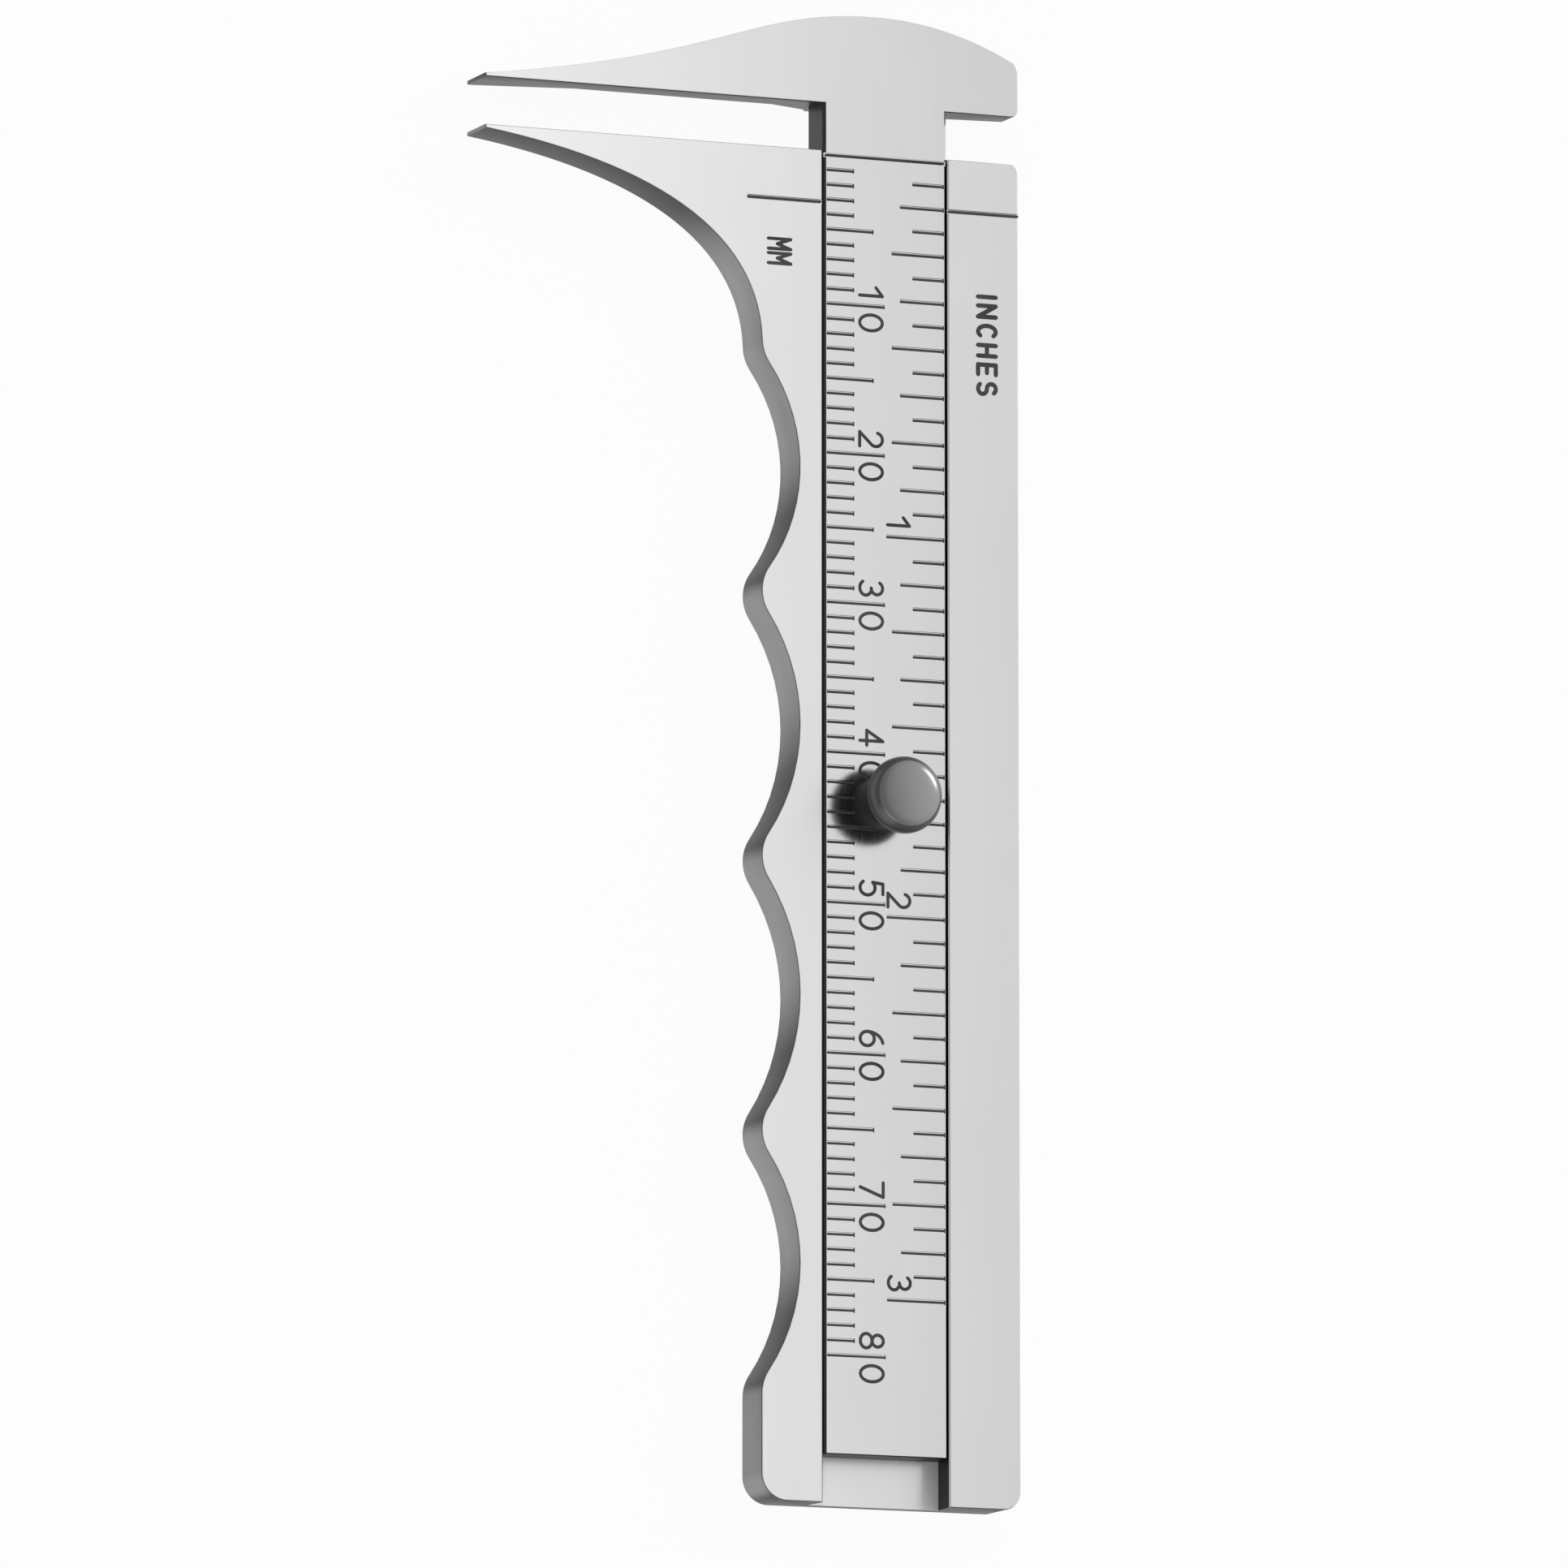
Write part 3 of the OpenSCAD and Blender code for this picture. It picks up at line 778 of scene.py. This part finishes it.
def buildBody():
    s = bodySizes
    piece = plate("body_steel_plate", backOutline("body", bodyPlace), s["rim"], s["rimSteps"])
    length = (bodyBox[1].y - bodyBox[0].y) / mm
    section = dovetail(s["channelHalf"], s["barDepth"] + s["floorGap"], s["edgeBreak"],
                       thick + past, s)
    carve(piece, bar("channel_cut", section, -length - past, past))
    carve(piece, drill("pin_cut", s["pinHole"], thick, (s["pinX"], s["pinY"]),
                       s["pinAround"]))
    deep = graduation["depth"]
    y = -graduation["zeroOffset"]
    cuts = [oneLine("index_cut", a, b, y, thick + deep, 2 * deep) for a, b in indexSpans(past)]
    carve(piece, joined("index_cuts", *cuts))
    placed = [p for word in unitWords.values() for p in wordPlaces(**word)]
    carve(piece, cutSigns("unit_cut", placed), overlaps=True)
    shade(piece)
    wall = s["channelHalf"] + s["undercut"] + s["wallReach"]
    dress(piece, bodyFace, bodyEdge, bodyChannel, bodyFloor,
          choose=lambda f: steelFinish(f, wallHalf=wall))
    fit(piece, bodyPlace, "frame", "body_steel", "body")
    filler = signFiller("unit_word_fill", placed)
    shade(filler)
    dress(filler, blackFill)
    fit(filler, bodyPlace, "frame", "black_fill")
    lines = [oneLine("index_fill", a, b, y, thick - graduation["fillSink"],
                     deep - graduation["fillSink"], graduation["cornerRound"])
             for a, b in indexSpans(0)]
    marks = joined("index_line_fill", *lines)
    shade(marks)
    dress(marks, blackFill)
    fit(marks, bodyPlace, "frame", "black_fill", "index_marks")


buildBody()
print("body made")


slideSizes = dict(
    rim=0.08, rimSteps=3,
    tip=0.25, tipSlope=7.5, tipPull=0.63,      # the moving jaw's height and rise at its tip
    crown=6.05, crownLeft=0.6, crownPull=0.32,
    end=3.5, endRound=0.5, roundSteps=6, crownSteps=24, curveSteps=48,
    endWall=1.0,         # mm at the bar's foot whose faces are painted dark as the channel's walls, as painted shade
    bevelHigh=1.5, bevelWide=0.6, bevelRun=7.0, bevelStop=0.8, bevelFade=2.1,
    bevelNeck=0.3, bevelRight=(0.7, 1.2),      # shares of the full bevel
    barHalf=4.45, undercut=0.15, barDepth=2.2, edgeBreak=0.2, barRoot=1.7, endBevel=0.06,
    lineClear=0.03,      # bare steel between a line and the bar's broken edge
    shankHole=1.01, shankAround=48,
    cutFrom=0.5,         # a level in the air below the bar
    pocketHalfWidth=2.15, pocketHalfLength=10.15, pocketDepth=0.6,
    grooveX=3.4, grooveHalf=0.62, grooveTop=-5.2, grooveFoot=-86.8, grooveDepth=0.7,
)


# The moving jaw's outline, taken anticlockwise from the lower corner of its tip
def headOutline():
    s = slideSizes
    left, right = ((box.x - channelX) / mm for box in slideBox)
    r, run, drop = s["endRound"], right + s["crownLeft"], s["crown"] - s["end"]
    dome = (run ** 2 + drop ** 2) / (2 * drop)
    middle = (-s["crownLeft"], s["crown"] - dome)
    endY = middle[1] + math.sqrt((dome - r) ** 2 - (run - r) ** 2)
    turn = math.degrees(math.atan2(endY - middle[1], run - r))
    loop = [(left, 0)] + rounding((right - r, r), r, 270, 360, s["roundSteps"])
    loop += rounding((right - r, endY), r, 0, turn, s["roundSteps"])
    loop += rounding(middle, dome, turn, 90, s["crownSteps"])[1:]
    reach = middle[0] - left
    slope = math.radians(s["tipSlope"])
    pull = s["tipPull"] * reach
    stops = [Vector((middle[0], s["crown"])),
             Vector((middle[0] - s["crownPull"] * reach, s["crown"])),
             Vector((left + pull * math.cos(slope), s["tip"] + pull * math.sin(slope))),
             Vector((left, s["tip"]))]
    for i in range(1, s["curveSteps"] + 1):
        t = i / s["curveSteps"]
        weights = ((1 - t) ** 3, 3 * (1 - t) ** 2 * t, 3 * (1 - t) * t ** 2, t ** 3)
        loop.append(sum((w * stop for w, stop in zip(weights, stops)), Vector((0, 0))))
    return [Vector(p) for p in loop]


# The bevel behind the moving face: a three-sided cutter along X, given the share of
# the full bevel at each place along it
def bevelCutter(name, *places):
    s = slideSizes
    lean, points = s["bevelWide"] / s["bevelHigh"], []
    for x, share in places:
        points += [(x, -past, -past), (x, share * s["bevelWide"] + past * lean, -past),
                   (x, -past, share * s["bevelHigh"] + past / lean)]
    return newPiece(name, points, ringFaces(len(places), 3))


def buildSlide():
    s = slideSizes
    length = (bodyBox[1].y - bodyBox[0].y) / mm
    back = thick - s["barDepth"]
    loop = headOutline()
    tip, end = loop[0].x, max(p.x for p in loop)
    stop = s["barHalf"] + s["bevelStop"]
    piece = plate("slide_steel_plate", loop, s["rim"], s["rimSteps"])
    carve(piece, bevelCutter("left_bevel", (tip, 0), (tip + s["bevelRun"], 1),
                             (-stop - s["bevelFade"], 1), (-s["barHalf"], s["bevelNeck"])))
    carve(piece, bevelCutter("right_bevel", *zip((stop, end + past), s["bevelRight"])))
    section = dovetail(s["barHalf"], s["barDepth"], -s["edgeBreak"], thick, s)
    section = section[:4] + section[6:]
    carve(piece, bar("bar", section, -length, s["barRoot"], s["endBevel"]), "UNION")
    knobY = -knobDrop
    carve(piece, drill("shank_cut", s["shankHole"], thick + past, (0, knobY),
                       s["shankAround"]))
    wide, long = s["pocketHalfWidth"], s["pocketHalfLength"]
    carve(piece, block("pocket_cut", (-wide, knobY - long, s["cutFrom"]),
                       (wide, knobY + long, back + s["pocketDepth"])))
    middle, wide = s["grooveX"], s["grooveHalf"]
    carve(piece, block("groove_cut", (middle - wide, s["grooveFoot"], s["cutFrom"]),
                       (middle + wide, s["grooveTop"], back + s["grooveDepth"])))
    deep, sink, half = graduation["depth"], graduation["fillSink"], s["barHalf"]
    faceHalf = half - s["edgeBreak"]
    lead = -s["edgeBreak"] - s["lineClear"]
    zero = -graduation["zeroOffset"]
    top = thick + deep
    cuts = [oneLine("zero_cut", -half - past, half + past, zero, top, 2 * deep),
            scaleRow("metric_cut", "metric", half, 1, lead, top, 2 * deep, 0.0),
            scaleRow("inch_cut", "inch", half, -1, lead, top, 2 * deep, 0.0)]
    carve(piece, joined("line_cuts", *cuts))
    placed = numeralPlaces()
    carve(piece, cutSigns("numeral_cut", placed), overlaps=True)
    shade(piece)
    # The bar's foot end is painted near black like the channel's walls, as painted shade; the
    # rest by where each face looks.
    dress(piece, slideFace, slideEdge, bodyChannel,
          choose=lambda f: 2 if f.center.y < s["endWall"] - length else steelFinish(f))
    fit(piece, slidePlace, "slider", "slide_steel", "slide")

    skin, filled = thick - sink, deep - sink
    corner = graduation["cornerRound"]
    rows = [oneLine("zero_fill", -faceHalf, faceHalf, zero, skin, filled, corner),
            scaleRow("metric_fill", "metric", half, 1, lead, skin, filled, corner)]
    metric = joined("millimetre_line_fill", *rows)
    inch = scaleRow("inch_line_fill", "inch", half, -1, lead, skin, filled, corner)
    for marks, node in ((metric, "millimetre_marks"), (inch, "inch_marks")):
        shade(marks)
        dress(marks, blackFill)
        fit(marks, slidePlace, "slider", "black_fill", node)
    filler = signFiller("numeral_fill", placed)
    shade(filler)
    dress(filler, blackFill)
    fit(filler, slidePlace, "slider", "black_fill")


buildSlide()
print("slide made")


knobSizes = dict(
    radius=2.55, rise=4.4, dome=0.4, rim=1.2, rimRound=1.0, footRound=0.15,
    stem=1.7, stemFillet=0.35, shank=1.0, rivet=1.4, rivetThick=0.2, rivetBreak=0.06,
    around=96, filletSteps=5, rimSteps=6, domeSteps=12,
    recess=0.02,         # above the button's underside, up to which it is painted near black, as painted shade
    crownUp=0.8,         # least upward share of a normal on the crown that gets the lit knob steel; below it the rim is painted darker as shade
)


def buildKnob():
    s = knobSizes
    top = thick + s["rise"]
    button = top - s["dome"] - s["rim"]
    ball = (s["radius"] ** 2 + s["dome"] ** 2) / (2 * s["dome"])
    lean = math.degrees(math.asin((s["radius"] - s["rimRound"]) / (ball - s["rimRound"])))
    low = knobBox[0].z / mm
    broken = s["rivetBreak"]
    profile = [(0, low), (s["rivet"] - broken, low), (s["rivet"], low + broken),
               (s["rivet"], low + s["rivetThick"]), (s["shank"], low + s["rivetThick"]),
               (s["shank"], thick), (s["stem"], thick)]
    fillet, foot, rim = s["stemFillet"], s["footRound"], s["rimRound"]
    profile += rounding((s["stem"] + fillet, button - fillet), fillet, 180, 90,
                        s["filletSteps"])
    profile += rounding((s["radius"] - foot, button + foot), foot, 270, 360,
                        s["filletSteps"])
    height = top - ball + (ball - rim) * math.cos(math.radians(lean))
    profile += rounding((s["radius"] - rim, height), rim, 0, 90 - lean, s["rimSteps"])
    crown = rounding((0, top - ball), ball, 90 - lean, 90, s["domeSteps"])[1:-1]
    profile += crown + [(0, top)]
    piece = turned("thumb_knob_button", profile, (0, -knobDrop), s["around"])
    shade(piece)
    dark = button + s["recess"]

    # Painted shade: the underside and stem near black, the rim darker than the crown
    def finish(face):
        if max(piece.data.vertices[i].co.z for i in face.vertices) < dark:
            return 2
        return int(face.normal.z < s["crownUp"])

    dress(piece, knobSteel, knobRim, knobDark, choose=finish)
    fit(piece, slidePlace, "slider", "knob_steel", "thumb_knob")


buildKnob()
print("knob made")

for node, material in (("drag_spring", springSteel), ("stop_pin", pinSteel)):
    nodes[node].data.materials.clear()
    nodes[node].data.materials.append(material)


studio = dict(
    floor=3.0,            # m, side of the floor
    floorDrop=2e-5,       # m below the flat back, so the two don't share a plane
    floorTone=0.92, fibre=900.0, fibreTone=0.02,
    floorWhite=0.95,      # share of the floor that shows as plain white
    world=0.80,
    brightSide=(0.75, 0.35, 0.55),
    skyRamp=(0.22, 0.95),  # how nearly a way looks there, from dim to bright
    dimSide=0.55,          # strength of the sky away from the bright side
    lamps=[               # place in m, size in m, watts
        dict(place=(0.80, 0.45, 0.40), size=0.4, watts=1.4),
        dict(place=(-0.46, -0.72, 0.30), size=0.8, watts=1.2),
    ],
)


# A ray that the viewer, or polished metal, sends straight to the background
def seenRay(tree):
    seen, mirrored, through = (tree.add("ShaderNodeLightPath", {}, out=f"Is {kind} Ray")
                               for kind in ("Camera", "Glossy", "Transmission"))
    return (seen + mirrored + through) > 0.5


def addStudio():
    s = studio
    half = s["floor"] / 2
    material, tree = newMaterial("floor_paper")
    place = tree.add("ShaderNodeTexCoord", {}, out="Object")
    fibre = tree.add("ShaderNodeTexNoise", {}, place, Scale=s["fibre"], Detail=3.0)
    tone = (fibre - 0.5) * s["fibreTone"] + s["floorTone"]
    colour = tree.add("ShaderNodeCombineColor", {}, tone, tone, tone)
    paper = tree.add("ShaderNodeBsdfDiffuse", {}, colour)
    white = tree.add("ShaderNodeEmission", {}, (1, 1, 1, 1), 1.0)
    mixed = tree.add("ShaderNodeMixShader", {}, seenRay(tree) * s["floorWhite"], paper, white)
    tree.add("ShaderNodeOutputMaterial", {}, mixed)
    corners = [(-half, -half), (half, -half), (half, half), (-half, half)]
    floor = newPiece("floor", [(x, y, -s["floorDrop"]) for x, y in corners], [(0, 1, 2, 3)])
    floor.data.materials.append(material)

    world = bpy.data.worlds.new("studio")
    bpy.context.scene.world = world
    world.use_nodes = True
    world.node_tree.nodes.clear()
    tree = Tree(world.node_tree)
    way = tree.add("ShaderNodeTexCoord", {}, out="Generated")
    towards = tree.add("ShaderNodeVectorMath", {"operation": "DOT_PRODUCT"}, way,
                       Vector(s["brightSide"]).normalized(), out="Value")
    soft = ease(towards, s["skyRamp"], s["dimSide"], 1.0)
    direct = tree.add("ShaderNodeLightPath", {}, out="Is Camera Ray")
    strength = seenRay(tree) * (1 - s["world"]) + s["world"]
    strength = strength * (soft + direct * (1 - soft))
    sky = tree.add("ShaderNodeBackground", {}, (1, 1, 1, 1), strength)
    tree.add("ShaderNodeOutputWorld", {}, sky)

    for i, lamp in enumerate(s["lamps"]):
        data = bpy.data.lights.new(f"lamp_{i}", "AREA")
        data.shape = "DISK"
        data.size = lamp["size"]
        data.energy = lamp["watts"]
        light = bpy.data.objects.new(f"lamp_{i}", data)
        bpy.context.scene.collection.objects.link(light)
        light.location = lamp["place"]
        light.rotation_euler = (-Vector(lamp["place"])).to_track_quat("-Z", "Y").to_euler()


addStudio()
bpy.context.scene.view_settings.view_transform = "Standard"
print("studio set")
